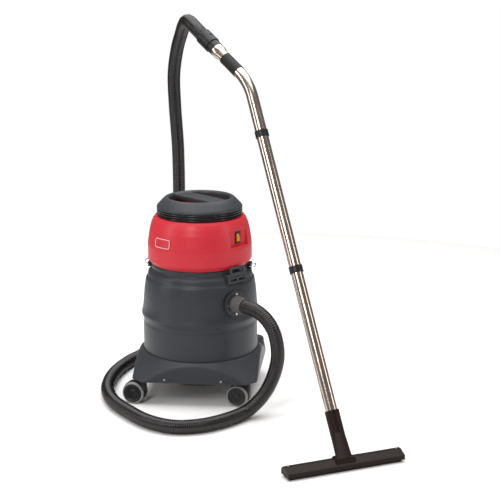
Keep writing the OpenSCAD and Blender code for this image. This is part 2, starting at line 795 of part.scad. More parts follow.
module tool_screws() {
    color(steel) at_tool() for (s = [-1, 1]) translate([s * (tool_w / 2 - 14), 7, head_high]) {
        cylinder(r = 4, h = 2);
        translate([0, 0, -10]) cylinder(r = 2.5, h = 10);
    }
}

// ---- Casters ----

caster_axle_turn = [168, 168, 176, 160];
caster_spots = [[-1, -1], [1, -1], [1, 1], [-1, 1]];
hood_half = 10;
hood_r = wheel_r + 2.5;

// Child's origin is the wheel axle's middle; +X points from the swivel axis to the axle, +Y along the axle
module at_caster(i) {
    translate([caster_spots[i][0] * caster_at, caster_spots[i][1] * caster_at, 0])
        facing(caster_axle_turn[i]) translate([caster_trail, 0, wheel_r]) children();
}

module caster_hood(i) {
    color(black) at_caster(i) difference() {
        union() {
            rotate([90, 0, 0]) linear_extrude(2 * hood_half, center = true) intersection() {
                circle(r = hood_r);
                translate([-hood_r, -14]) square([2 * hood_r, hood_r + 14]);
            }
            translate([-caster_trail, 0, 14]) cylinder(r = 15, h = base_bottom - 1.5 - wheel_r - 14);
        }
        rotate([90, 0, 0]) cylinder(r = 4, h = 100, center = true);
        translate([-caster_trail, 0, 12]) cylinder(r = stem_r, h = 60);
        for (s = [-1, 1]) rotate([s * 90, 0, 0]) translate([0, 0, hood_half])
            cylinder(r = wheel_r + 1.5, h = 20);
    }
}

module caster_pins(i) {
    color(steel) at_caster(i) {
        rotate([90, 0, 0]) cylinder(r = 4, h = 2 * hood_half + 26, center = true);
        translate([-caster_trail, 0, 12]) cylinder(r = stem_r, h = base_bottom + stem_rise - wheel_r - 12);
    }
}

module caster_wheels(i) {
    color(black) at_caster(i) for (s = [-1, 1]) rotate([s * 90, 0, 0]) translate([0, 0, hood_half + 1])
        difference() {
            rotate_extrude() polygon([[0, 0], [rim_r, 0], [rim_r, 13], [rim_r - 3, 13],
                [rim_r - 8, 10], [14, 9], [8, 14], [0, 14.5]]);
            translate([0, 0, -1]) cylinder(r = 4 + run_gap, h = 14);
        }
}

module caster_tyres(i) {
    color(grey) at_caster(i) for (s = [-1, 1]) rotate([s * 90, 0, 0]) translate([0, 0, hood_half + 1])
        rotate_extrude() polygon([[rim_r, 0], [wheel_r - 2, 0], [wheel_r, 2.5], [wheel_r, 11],
            [wheel_r - 2, 13.5], [rim_r, 13.5]]);
}

tank();
base();
screws();
inlet_flange();
tank_cuff();
hose();
swivel_ring();
bail_brackets();
wire_bail_right();
wire_bail_left();
latch_bracket();
latch_pin();
latch_frame();
head_plate();
red_housing();
lid();
tank_gasket();
badge_plate();
switch_bezel();
rocker();
motor_casing();
stator();
rotor();
fan();
bearings();
exhaust_foam();
filter();
float_cage();
float();
mains_cable();
cable_tail();
cable_gland();
plug();
plug_pins();
wand_cuff();
bent_tube();
grip();
tube_collars();
tube_upper();
tube_lower();
tool_neck();
tool_head();
squeegees();
tool_screws();
caster_hood(0);  // caster_1_hood
caster_pins(0);  // caster_1_pins
caster_wheels(0);  // caster_1_wheels
caster_tyres(0);  // caster_1_tyres
caster_hood(1);  // caster_2_hood
caster_pins(1);  // caster_2_pins
caster_wheels(1);  // caster_2_wheels
caster_tyres(1);  // caster_2_tyres
caster_hood(2);  // caster_3_hood
caster_pins(2);  // caster_3_pins
caster_wheels(2);  // caster_3_wheels
caster_tyres(2);  // caster_3_tyres
caster_hood(3);  // caster_4_hood
caster_pins(3);  // caster_4_pins
caster_wheels(3);  // caster_4_wheels
caster_tyres(3);  // caster_4_tyres
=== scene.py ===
import math

import bpy
from mathutils import Matrix, Vector


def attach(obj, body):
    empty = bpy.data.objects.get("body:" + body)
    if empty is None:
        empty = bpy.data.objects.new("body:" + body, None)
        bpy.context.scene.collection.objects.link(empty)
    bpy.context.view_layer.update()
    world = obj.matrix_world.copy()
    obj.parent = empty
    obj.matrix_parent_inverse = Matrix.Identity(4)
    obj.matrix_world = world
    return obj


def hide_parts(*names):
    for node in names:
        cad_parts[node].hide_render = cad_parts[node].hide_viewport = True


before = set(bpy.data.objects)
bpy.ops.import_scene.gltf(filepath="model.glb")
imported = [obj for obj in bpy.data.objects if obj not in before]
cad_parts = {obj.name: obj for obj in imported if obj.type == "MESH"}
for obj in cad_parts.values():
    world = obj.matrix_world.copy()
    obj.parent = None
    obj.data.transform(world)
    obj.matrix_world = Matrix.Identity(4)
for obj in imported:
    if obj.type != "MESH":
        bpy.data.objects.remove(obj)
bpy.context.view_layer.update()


# ---------------------------------------------------------------- camera, light and floor


def make_camera():
    """A long lens at a standing person's height, a little round to the right of the base's front."""
    data = bpy.data.cameras.new("camera")
    data.sensor_width = 36
    data.lens = 96.5
    camera = bpy.data.objects.new("camera", data)
    bpy.context.collection.objects.link(camera)
    camera.location = (0.6032, -4.4628, 1.578)
    camera.rotation_euler = (math.radians(76.5), 0, math.radians(5.5))
    bpy.context.scene.camera = camera


def make_light(name, place, aim, size, power, colour=(1, 1, 1)):
    data = bpy.data.lights.new(name, "AREA")
    data.shape = "RECTANGLE"
    data.size, data.size_y = size
    data.energy = power
    data.color = colour
    light = bpy.data.objects.new(name, data)
    bpy.context.collection.objects.link(light)
    light.location = place
    light.rotation_euler = (Vector(aim) - Vector(place)).to_track_quat("-Z", "Y").to_euler()


def make_studio():
    """A pale round floor, soft lights in front, at the sides and above, and a white surround
    that lights the machine only faintly."""
    bpy.ops.mesh.primitive_circle_add(vertices=128, radius=2.4, fill_type="NGON", location=(0.1, 0.1, 0))
    floor = bpy.context.object
    floor.name = "floor"
    material = bpy.data.materials.new("pale_floor")
    material.use_nodes = True
    surface = material.node_tree.nodes["Principled BSDF"]
    surface.inputs["Base Color"].default_value = (0.92, 0.92, 0.92, 1)
    surface.inputs["Roughness"].default_value = 0.9
    floor.data.materials.append(material)
    make_light("key", (-0.9, -3.6, 2.7), (0, 0, 0.5), (0.9, 1.8), 60)
    make_light("side", (-3.2, -1.4, 1.7), (0, 0, 0.6), (0.7, 2.4), 30, (1, 0.97, 0.94))
    make_light("fill", (3.4, -1.0, 1.7), (0, 0, 0.6), (0.6, 2.4), 24, (1, 0.94, 0.89))
    make_light("top", (0, 0.5, 3.6), (0, 0, 0), (4.2, 4.2), 200)
    world = bpy.data.worlds.new("studio")
    bpy.context.scene.world = world
    world.use_nodes = True
    tree = world.node_tree
    faint = tree.nodes["Background"]
    faint.inputs["Color"].default_value = (1, 0.93, 0.88, 1)
    faint.inputs["Strength"].default_value = 0.22
    white = tree.nodes.new("ShaderNodeBackground")
    white.inputs["Color"].default_value = (1, 1, 1, 1)
    path = tree.nodes.new("ShaderNodeLightPath")
    mix = tree.nodes.new("ShaderNodeMixShader")
    tree.links.new(path.outputs["Is Camera Ray"], mix.inputs[0])
    tree.links.new(faint.outputs[0], mix.inputs[1])
    tree.links.new(white.outputs[0], mix.inputs[2])
    tree.links.new(mix.outputs[0], tree.nodes["World Output"].inputs["Surface"])
    bpy.context.scene.view_settings.view_transform = "Standard"


# ---------------------------------------------------------------- finishes


class Sum:
    """A shader value that Python's operators can do sums with."""

    def __init__(self, tree, socket):
        self.tree, self.socket = tree, socket

    def sum(self, operation, first, second):
        node = self.tree.nodes.new("ShaderNodeMath")
        node.operation = operation
        for port, value in zip(node.inputs, (first, second)):
            if isinstance(value, Sum):
                self.tree.links.new(value.socket, port)
            else:
                port.default_value = value
        return Sum(self.tree, node.outputs[0])

    def __add__(self, other):
        return self.sum("ADD", self, other)

    __radd__ = __add__

    def __mul__(self, other):
        return self.sum("MULTIPLY", self, other)

    __rmul__ = __mul__


class Finish:
    """One material: a principled surface, and the nodes that vary it."""

    def __init__(self, name, colour, roughness, **fixed):
        self.material = bpy.data.materials.new(name)
        self.material.use_nodes = True
        self.tree = self.material.node_tree
        self.surface = self.tree.nodes["Principled BSDF"]
        self.surface.inputs["Base Color"].default_value = (*colour, 1)
        self.surface.inputs["Roughness"].default_value = roughness
        for socket, value in fixed.items():
            self.surface.inputs[socket.replace("_", " ")].default_value = value
        self.place = self.node("ShaderNodeTexCoord", "Object")

    def node(self, kind, output, settings=(), **sockets):
        node = self.tree.nodes.new(kind)
        for setting, value in dict(settings).items():
            setattr(node, setting, value)
        for socket, value in sockets.items():
            port = node.inputs[socket.replace("_", " ")]
            if isinstance(value, Sum):
                self.tree.links.new(value.socket, port)
            else:
                port.default_value = value
        return Sum(self.tree, node.outputs[output])

    def noise(self, scale, detail=3.0, roughness=0.55, place=None):
        return self.node("ShaderNodeTexNoise", "Fac", Vector=place or self.place, Scale=scale, Detail=detail,
            Roughness=roughness)

    def stretched(self, x, y, z):
        return self.node("ShaderNodeMapping", "Vector", Vector=self.place, Scale=(x, y, z))

    def spread(self, value, low, high, to_low, to_high):
        return self.node("ShaderNodeMapRange", "Result", Value=value, From_Min=low, From_Max=high,
            To_Min=to_low, To_Max=to_high)

    def mixed(self, factor, first, second):
        """A colour between two, each given as numbers or as an earlier mix."""
        node = self.tree.nodes.new("ShaderNodeMix")
        node.data_type = "RGBA"
        self.tree.links.new(factor.socket, node.inputs[0])
        for port, colour in ((node.inputs[6], first), (node.inputs[7], second)):
            if isinstance(colour, Sum):
                self.tree.links.new(colour.socket, port)
            else:
                port.default_value = (*colour, 1)
        return Sum(self.tree, node.outputs[2])

    def feed(self, socket, value):
        self.tree.links.new(value.socket, self.surface.inputs[socket])
        return self

    def bumped(self, height, strength, distance):
        """Bump from a height that runs from 0 to 1, over a distance in metres."""
        return self.feed("Normal", self.node("ShaderNodeBump", "Normal", Height=height, Strength=strength,
            Distance=distance))


def moulded(name, colour, dusty, roughness, grain=0.00012, coat=0.0, gloss=0.36):
    """Moulded plastic: a fine grain, faint flow clouds, and small dull scuffs."""
    finish = Finish(name, colour, roughness, Coat_Weight=coat, Coat_Roughness=0.18, Specular_IOR_Level=gloss)
    clouds = finish.noise(7, 4)
    scuffs = finish.spread(finish.noise(60, 6, 0.7), 0.56, 0.72, 0, 1)
    finish.feed("Base Color", finish.mixed(clouds * 0.7 + scuffs * 0.35, colour, dusty))
    smoothness = finish.spread(clouds, 0.3, 0.7, roughness - 0.05, roughness + 0.05)
    finish.feed("Roughness", smoothness + scuffs * 0.12)
    return finish.bumped(finish.noise(1500, 2) * 0.7 + finish.noise(340, 2) * 0.3, 0.25, grain)


def make_finishes():
    """Every finish on the machine, by name."""
    f = {}
    f["tank"] = moulded("anthracite_tank", (0.026, 0.030, 0.038), (0.036, 0.041, 0.049), 0.40)
    f["lid"] = moulded("anthracite_lid", (0.030, 0.033, 0.039), (0.042, 0.045, 0.052), 0.44)
    f["base"] = moulded("anthracite_base", (0.028, 0.032, 0.040), (0.039, 0.044, 0.052), 0.42)
    f["red"] = moulded("red_housing", (0.560, 0.020, 0.034), (0.600, 0.030, 0.046), 0.42, 0.00005, 0.06)
    f["black"] = moulded("black_plastic", (0.006, 0.006, 0.0065), (0.012, 0.0115, 0.0115), 0.40)
    f["tool"] = moulded("tool_plastic", (0.0120, 0.0055, 0.0040), (0.018, 0.0095, 0.007), 0.46, gloss=0.16)
    f["hub"] = moulded("wheel_hub", (0.014, 0.0135, 0.014), (0.024, 0.0235, 0.024), 0.45)
    f["grey"] = moulded("grey_plastic", (0.085, 0.080, 0.078), (0.125, 0.118, 0.114), 0.50)
    f["white"] = moulded("white_acetal", (0.80, 0.80, 0.78), (0.72, 0.71, 0.68), 0.30)
    f["rubber"] = moulded("black_rubber", (0.005, 0.005, 0.005), (0.010, 0.0095, 0.009), 0.62, 0.0002)
    f["cable"] = moulded("cable_sheath", (0.004, 0.004, 0.0045), (0.009, 0.009, 0.0095), 0.20, 0.00003)
    f["tyre"] = moulded("grey_tyre", (0.27, 0.27, 0.275), (0.21, 0.205, 0.20), 0.55, 0.0002)
    f["hose"] = hose_finish()
    f["steel"] = steel_finish()
    f["zinc"] = zinc_finish()
    f["copper"] = Finish("copper_winding", (0.55, 0.25, 0.12), 0.35, Metallic=1.0)
    wires = f["copper"].noise(900, 2, place=f["copper"].stretched(1, 1, 0.05))
    f["copper"].bumped(wires, 0.6, 0.0006)
    f["foam"] = foam_finish()
    f["cloth"] = cloth_finish()
    f["amber"] = amber_finish()
    return {name: finish.material for name, finish in f.items()}


def hose_finish():
    """Blown plastic hose: soft gloss, with faint random clouds of dust that darken and dull it."""
    finish = Finish("ribbed_hose", (0.016, 0.014, 0.014), 0.34)
    dust = finish.spread(finish.noise(9, 3), 0.40, 0.75, 0, 1)
    finish.feed("Base Color", finish.mixed(dust, (0.0030, 0.0018, 0.0020), (0.0058, 0.0038, 0.0040)))
    finish.feed("Roughness", finish.spread(dust, 0, 1, 0.26, 0.40))
    return finish.bumped(finish.noise(900, 2), 0.08, 0.00005)


def steel_finish():
    """Polished stainless tube with a few dull smears; its base colour is darkened and warmed as a painted
    reflection of dark brown surroundings.
    """
    finish = Finish("polished_tube", (0.62, 0.57, 0.53), 0.16, Metallic=1.0)
    smears = finish.noise(14, 5)
    # Both colours are darker and browner than bare steel, a painted reflection of warm dark surroundings; the
    # smears noise only varies them at random.
    finish.feed("Base Color", finish.mixed(smears, (0.56, 0.485, 0.435), (0.44, 0.37, 0.325)))
    return finish.feed("Roughness", finish.spread(smears, 0.3, 0.7, 0.15, 0.26))


def zinc_finish():
    """Bright zinc on screws, wires and pins."""
    finish = Finish("bright_zinc", (0.60, 0.60, 0.60), 0.28, Metallic=1.0)
    spots = finish.noise(220, 4)
    finish.feed("Base Color", finish.mixed(spots, (0.66, 0.66, 0.67), (0.48, 0.47, 0.46)))
    finish.feed("Roughness", finish.spread(spots, 0.3, 0.7, 0.20, 0.38))
    return finish.bumped(finish.noise(1600, 2), 0.15, 0.00004)


def foam_finish():
    """Open-cell foam."""
    finish = Finish("open_foam", (0.06, 0.06, 0.06), 0.95)
    cells = finish.node("ShaderNodeTexVoronoi", "Distance", Vector=finish.place, Scale=420)
    finish.feed("Base Color", finish.mixed(cells, (0.02, 0.02, 0.02), (0.11, 0.11, 0.11)))
    return finish.bumped(cells, 0.9, 0.0012)


def cloth_finish():
    """Felted filter cloth."""
    finish = Finish("filter_cloth", (0.74, 0.71, 0.64), 0.9)
    fibres = finish.noise(700, 6, 0.8)
    finish.feed("Base Color", finish.mixed(fibres, (0.60, 0.56, 0.49), (0.82, 0.79, 0.72)))
    return finish.bumped(fibres, 0.7, 0.0008)


def amber_finish():
    """A lit amber switch key."""
    finish = Finish("amber_key", (0.80, 0.30, 0.03), 0.18, Emission_Strength=0.12)
    glow = finish.noise(90, 2)
    finish.feed("Base Color", finish.mixed(glow, (0.70, 0.26, 0.02), (0.52, 0.15, 0.01)))
    finish.feed("Emission Color", finish.mixed(glow, (0.95, 0.42, 0.05), (0.60, 0.16, 0.01)))
    return finish.bumped(finish.noise(500, 1), 0.1, 0.0001)


# ---------------------------------------------------------------- modelling helpers


def nothing_selected():
    if bpy.context.mode != "OBJECT":
        bpy.ops.object.mode_set(mode="OBJECT")
    bpy.ops.object.select_all(action="DESELECT")


def only(piece):
    nothing_selected()
    piece.select_set(True)
    bpy.context.view_layer.objects.active = piece


def rounded(outline, reach, steps=3):
    """The outline with each inner corner cut back by reach and drawn as a curve."""
    points = [Vector(p) for p in outline]
    curve = [points[0]]
    for before, corner, after in zip(points, points[1:], points[2:]):
        near = (before - corner) * min(0.45, reach / (before - corner).length)
        far = (after - corner) * min(0.45, reach / (after - corner).length)
        for i in range(steps + 1):
            t = i / steps
            curve.append(corner + near * (1 - t) ** 2 + far * t**2)
    curve.append(points[-1])
    return [tuple(p) for p in curve]


def lathe(name, outline, sides=128, closed=False):
    """Draws a round piece ring by ring from an outline of (radius, height).
    Open ends are closed flat; a closed outline comes back to its first ring instead."""
    nothing_selected()
    radius, height = outline[0]
    bpy.ops.mesh.primitive_circle_add(vertices=sides, radius=radius, location=(0, 0, height))
    piece = bpy.context.object
    piece.name = name
    bpy.ops.object.transform_apply()
    bpy.ops.object.mode_set(mode="EDIT")
    bpy.ops.mesh.select_all(action="SELECT")
    for before, (radius, height) in zip(outline, outline[1:] + outline[:1] * closed):
        bpy.ops.mesh.extrude_region_move(TRANSFORM_OT_translate={"value": (0, 0, height - before[1])})
        grow = radius / before[0]
        bpy.ops.transform.resize(value=(grow, grow, 1), center_override=(0, 0, height))
    bpy.ops.mesh.select_all(action="SELECT")
    bpy.ops.mesh.remove_doubles(threshold=0.00002)
    bpy.ops.mesh.select_all(action="DESELECT")
    bpy.ops.mesh.select_non_manifold()
    bpy.ops.mesh.fill_holes(sides=0)
    return finish_shape(piece)


def finish_shape(piece, angle=35):
    """Points the faces outwards and shades the piece smooth up to an angle."""
    if bpy.context.mode != "EDIT_MESH":
        only(piece)
        bpy.ops.object.mode_set(mode="EDIT")
    bpy.ops.mesh.select_all(action="SELECT")
    bpy.ops.mesh.normals_make_consistent(inside=False)
    bpy.ops.object.mode_set(mode="OBJECT")
    only(piece)
    bpy.ops.object.shade_smooth_by_angle(angle=math.radians(angle))
    return piece


def block(name, low, high, bevel=0.002, segments=3):
    """A box between two corners with rounded edges."""
    nothing_selected()
    low, high = Vector(low), Vector(high)
    bpy.ops.mesh.primitive_cube_add(size=1, location=(low + high) / 2)
    piece = bpy.context.object
    piece.name = name
    piece.scale = high - low
    bpy.ops.object.transform_apply()
    round_edges(piece, bevel, segments)
    return piece


def round_edges(piece, width, segments=3, angle=30):
    bevel = piece.modifiers.new("bevel", "BEVEL")
    bevel.width = width
    bevel.segments = segments
    bevel.limit_method = "ANGLE"
    bevel.angle_limit = math.radians(angle)
    apply_modifiers(piece)


def apply_modifiers(piece):
    only(piece)
    for modifier in list(piece.modifiers):
        bpy.ops.object.modifier_apply(modifier=modifier.name)


def joined(name, *pieces):
    nothing_selected()
    for piece in pieces:
        piece.select_set(True)
    bpy.context.view_layer.objects.active = pieces[0]
    bpy.ops.object.join()
    pieces[0].name = name
    return pieces[0]


def cut(piece, cutter, operation="DIFFERENCE"):
    """Takes the cutter's shape out of the piece, or keeps only what lies in it."""
    boolean = piece.modifiers.new("cut", "BOOLEAN")
    boolean.operation = operation
    boolean.object = cutter
    apply_modifiers(piece)
    bpy.data.objects.remove(cutter)


def placed(piece, matrix):
    """Moves a finished piece into place, in its mesh."""
    piece.data.transform(matrix)
    piece.data.update()
    return piece


# ---------------------------------------------------------------- hose and mains cable


def on_curve(points, steps):
    """A smooth curve through the points, with so many steps between each two."""
    p = [Vector(point) for point in points]
    last = len(p) - 1
    line = []
    for i in range(last):
        a, b, c, d = p[max(i - 1, 0)], p[i], p[i + 1], p[min(i + 2, last)]
        for s in range(steps):
            t = s / steps
            line.append(0.5 * (2 * b + (c - a) * t + (2 * a - 5 * b + 4 * c - d) * t**2
                + (3 * b - a - 3 * c + d) * t**3))
    return line + [p[last]]


def evenly(line, step):
    """Points at equal distances along a line."""
    out, left = [line[0]], step
    for a, b in zip(line, line[1:]):
        span = (b - a).length
        along = left
        while along < span:
            out.append(a + (b - a) * (along / span))
            along += step
        left = along - span
    return out + [line[-1]]


def length_of(line):
    return sum((b - a).length for a, b in zip(line, line[1:]))


def tube(name, line, radius, swell=(1,), resolution=4):
    """A curve drawn as a round tube; swell gives the shares of the radius that its points take in turn."""
    data = bpy.data.curves.new(name, "CURVE")
    data.dimensions = "3D"
    data.bevel_depth = radius
    data.bevel_resolution = resolution
    data.use_fill_caps = True
    spline = data.splines.new("POLY")
    spline.points.add(len(line) - 1)
    for i, point in enumerate(line):
        spline.points[i].co = (*point, 1)
        spline.points[i].radius = swell[i % len(swell)]
    spline.use_smooth = True
    piece = bpy.data.objects.new(name, data)
    bpy.context.collection.objects.link(piece)
    return piece


HOSE_START = (0.1734, -0.1827, 0.350)
HOSE_ROUTE = [
    (0.211, -0.219, 0.350), (0.248, -0.250, 0.332), (0.276, -0.272, 0.298), (0.289, -0.277, 0.252),
    (0.291, -0.272, 0.205), (0.283, -0.264, 0.160), (0.268, -0.262, 0.116), (0.246, -0.268, 0.076),
    (0.219, -0.287, 0.047), (0.184, -0.313, 0.025), (0.125, -0.387, 0.024), (0.051, -0.442, 0.024),
    (-0.036, -0.457, 0.024), (-0.122, -0.415, 0.024), (-0.199, -0.334, 0.024), (-0.264, -0.245, 0.024),
    (-0.306, -0.142, 0.024), (-0.322, -0.035, 0.024), (-0.318, 0.075, 0.024), (-0.294, 0.184, 0.024),
    (-0.255, 0.277, 0.026), (-0.209, 0.349, 0.058), (-0.171, 0.405, 0.130), (-0.149, 0.435, 0.240),
    (-0.140, 0.445, 0.400), (-0.137, 0.442, 0.600), (-0.137, 0.430, 0.780), (-0.142, 0.403, 0.940),
    (-0.137, 0.352, 1.060), (-0.114, 0.281, 1.158), (-0.086, 0.205, 1.223), (-0.062, 0.120, 1.262),
    (-0.037, 0.040, 1.275), (-0.009, -0.016, 1.260)
]
HOSE_END = (0.0234, -0.0501, 1.2340)
HOSE_WIDE = 0.047
RIB_PITCH = 0.0068
RIB_SHAPE = (0.89, 0.985, 1.0, 0.985)


def make_hose(finish):
    """The suction hose, from the tank's cuff round the floor and up behind the machine to the wand's cuff."""
    line = evenly(on_curve([HOSE_START, *HOSE_ROUTE, HOSE_END], 24), RIB_PITCH / len(RIB_SHAPE))
    hose = tube("ribbed_hose", line, HOSE_WIDE / 2, RIB_SHAPE)
    hose.data.materials.append(finish)
    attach(hose, "machine")
    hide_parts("hose")
    round(length_of(line), 2)
    return hose


DECK_Z = 0.624
CABLE_WIDE = 0.008
CABLE_PITCH = 0.0082
COIL_ROWS = 3
COIL_OUTER = 0.147
TURN_POINTS = 48
TAIL_ANGLE = math.radians(99.5)
TAIL_SWEEP = math.radians(32)
GLAND_ANGLE = math.radians(55.5)
GLAND_RADIUS = 0.134
PLUG_RADIUS = 0.172
PLUG_Z = 0.634


def coil_point(angle, layer, height):
    radius = COIL_OUTER - CABLE_WIDE / 2 - (COIL_ROWS - 1 - layer) * CABLE_PITCH
    return (radius * math.cos(angle), radius * math.sin(angle), height)


def cable_line():
    """Out of the gland, nine turns in three layers of three rows, and off the top row to the plug."""
    lift = DECK_Z + CABLE_PITCH / 2 + 0.001
    line = []
    turns = COIL_ROWS * COIL_ROWS
    first = GLAND_ANGLE
    last = TAIL_ANGLE - TAIL_SWEEP + 2 * math.pi * turns
    steps = round((last - first) / (2 * math.pi) * TURN_POINTS)
    for i in range(steps + 1):
        angle = first + (last - first) * i / steps
        turned = (angle - first) / (2 * math.pi)
        row_turn = min(int(turned), turns - 1)
        part = min(1, max(0, (turned - row_turn) * 6))
        ease = part * part * (3 - 2 * part)
        layer, row = divmod(row_turn, COIL_ROWS)
        before = max(row_turn - 1, 0)
        old_layer, old_row = divmod(before, COIL_ROWS)
        row = row if layer % 2 == 0 else COIL_ROWS - 1 - row
        old_row = old_row if old_layer % 2 == 0 else COIL_ROWS - 1 - old_row
        layer_now = old_layer + (layer - old_layer) * ease
        row_now = old_row + (row - old_row) * ease
        line.append(coil_point(angle, layer_now, lift + row_now * CABLE_PITCH))
    return line


def make_cable(finish, rubber):
    """The mains cable wound under the lid, its loose end and the plug's strain relief."""
    line = [Vector(point) for point in cable_line()]
    gland = Vector((GLAND_RADIUS * math.cos(GLAND_ANGLE), GLAND_RADIUS * math.sin(GLAND_ANGLE), DECK_Z - 0.002))
    line = [gland, gland + Vector((0, 0, 0.0035))] + line[3:]
    begin = TAIL_ANGLE - TAIL_SWEEP
    coil_radius = COIL_OUTER - CABLE_WIDE / 2
    top = line[-1].z
    for i in range(1, 17):
        part = i / 16
        ease = part * part * (3 - 2 * part)
        angle = begin + TAIL_SWEEP * part
        radius = coil_radius + (PLUG_RADIUS - coil_radius) * (0.35 * part + 0.65 * part**2)
        line.append(Vector((radius * math.cos(angle), radius * math.sin(angle), top + (PLUG_Z - top) * ease)))
    cable = tube("mains_cable_wound", line, CABLE_WIDE / 2, resolution=3)
    cable.data.materials.append(finish)
    ribs = evenly(line[-8:], 0.0015)[-26:]
    sleeve = tube("strain_relief", ribs, 0.0062, (0.86, 1.0, 1.0, 0.86))
    for i, point in enumerate(sleeve.data.splines[0].points):
        point.radius *= 0.72 + 0.28 * i / len(ribs)
    sleeve.data.materials.append(rubber)
    for piece in (cable, sleeve):
        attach(piece, "head")
    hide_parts("mains_cable", "cable_tail")
    round(length_of(line), 2)


# ---------------------------------------------------------------- the machine's moulded pieces


LID_Z = 0.6496
OPENING = 0.104


def make_lid(finish):
    """The handle lid: a domed ring with a broad bar across it, run together with soft fillets."""
    outline = [
        (OPENING, LID_Z + 0.002), (OPENING + 0.002, LID_Z), (0.1455, LID_Z), (0.147, LID_Z + 0.0015),
        (0.147, LID_Z + 0.004), (0.1465, LID_Z + 0.007), (0.144, LID_Z + 0.0105), (0.137, LID_Z + 0.018),
        (0.131, LID_Z + 0.0245), (0.125, LID_Z + 0.0305), (0.120, LID_Z + 0.035), (0.1165, LID_Z + 0.0375),
        (0.113, LID_Z + 0.038), (0.1095, LID_Z + 0.037), (0.106, LID_Z + 0.0345), (OPENING, LID_Z + 0.030)
    ]
    ring = lathe("lid_moulding", outline, 192, closed=True)
    bar = block("lid_bar", (-0.113, -0.019, LID_Z + 0.013), (0.113, 0.047, LID_Z + 0.033), 0.006, 4)
    placed(bar, Matrix.Rotation(math.radians(-41.5), 4, "Z"))
    lid = joined("lid_moulding", ring, bar)
    remesh = lid.modifiers.new("remesh", "REMESH")
    remesh.mode = "VOXEL"
    remesh.voxel_size = 0.0016
    smooth = lid.modifiers.new("smooth", "SMOOTH")
    smooth.iterations = 14
    smooth.factor = 0.5
    apply_modifiers(lid)
    finish_shape(lid, 60)
    finished(lid, finish, "head", "anthracite", "lid")


BASE_BOTTOM = 0.082
BASE_TOP = 0.155
BASE_HALF = 0.215
BASE_BORE = 0.1985


def make_base(finish):
    """The caster base: a cone falling from the tank's seam, cut off square, with two taller
    corners behind, run together with soft edges and hollow underneath."""
    skirt = BASE_BORE + 0.0075
    cone = lathe("caster_base", [(0.15, BASE_BOTTOM), (skirt + BASE_TOP - BASE_BOTTOM, BASE_BOTTOM),
        (skirt, BASE_TOP), (0.15, BASE_TOP)], 192, closed=True)
    square = block("base_square", (-BASE_HALF, -BASE_HALF, 0.04), (BASE_HALF, BASE_HALF, 0.21), 0.04, 6)
    cut(cone, square, "INTERSECT")
    ears = []
    for side in (-1, 1):
        corner = lathe("base_ear", [(0.045, BASE_BOTTOM), (0.045, 0.094), (0.037, 0.139)], 64)
        placed(corner, Matrix.Translation((side * 0.169, 0.169, 0)))
        shoulder = lathe("base_shoulder", [(0.045, 0.096), (0.050, 0.141), (0.047, 0.149)], 64)
        placed(shoulder, Matrix.Translation((side * 0.142, 0.148, 0)))
        ears += [corner, shoulder]
    base = joined("caster_base", cone, *ears)
    remesh = base.modifiers.new("remesh", "REMESH")
    remesh.mode = "VOXEL"
    remesh.voxel_size = 0.0028
    smooth = base.modifiers.new("smooth", "SMOOTH")
    smooth.iterations = 10
    smooth.factor = 0.5
    apply_modifiers(base)
    cut(base, lathe("base_bore", [(BASE_BORE, 0.05), (BASE_BORE, 0.20)], 192))
    for across, along in ((0.205, 0.115), (0.115, 0.205)):
        cut(base, block("base_hollow", (-across, -along, 0.07), (across, along, 0.107), 0.004, 2))
    finish_shape(base, 50)
    finished(base, finish, "machine", "anthracite", "base")


WAND_FOOT = Vector((0.481, -0.597, 0.148))
WAND_CORNER_AT = 1.077
WAND_RADIUS = 0.019
BEND_RADIUS = 0.190
UPPER_LEG = 0.175
LOWER_LEG = 0.124
TUBE_SHOWN = 0.45
IN_SOCKET = 0.04


def heading(turn, lean):
    turn, lean = math.radians(turn), math.radians(lean)
    return Vector((math.cos(turn) * math.sin(lean), math.sin(turn) * math.sin(lean), math.cos(lean)))


def make_wand(finish):
    """The bent tube with its flared upper end, and the two straight tubes below it."""
    lower, upper = heading(125.5, 28), heading(140.5, 57.5)
    corner = WAND_FOOT + WAND_CORNER_AT * lower
    angle = lower.angle(upper)
    start_at = WAND_CORNER_AT - BEND_RADIUS * math.tan(angle / 2)
    start = WAND_FOOT + start_at * lower
    inward = (upper - upper.dot(lower) * lower).normalized()
    foot_at = start_at - LOWER_LEG
    line = [WAND_FOOT + foot_at * lower]
    for i in range(25):
        a = angle * i / 24
        line.append(start + BEND_RADIUS * (math.sin(a) * lower + (1 - math.cos(a)) * inward))
    line += [corner + z * upper for z in (0.143, 0.155, UPPER_LEG)]
    swell = [1] * (len(line) - 2) + [1.21, 1.21]
    finished(tube("bent_tube_steel", line, WAND_RADIUS, swell, 10), finish, "wand", "steel", "bent_tube")
    middle_at = foot_at - TUBE_SHOWN
    for name, low, high in (("tube_upper", middle_at, foot_at), ("tube_lower", -IN_SOCKET, middle_at)):
        line = [WAND_FOOT + (low + (high - low) * i / 8) * lower for i in range(9)]
        finished(tube(name + "_steel", line, WAND_RADIUS, resolution=10), finish, "wand", "steel", name)


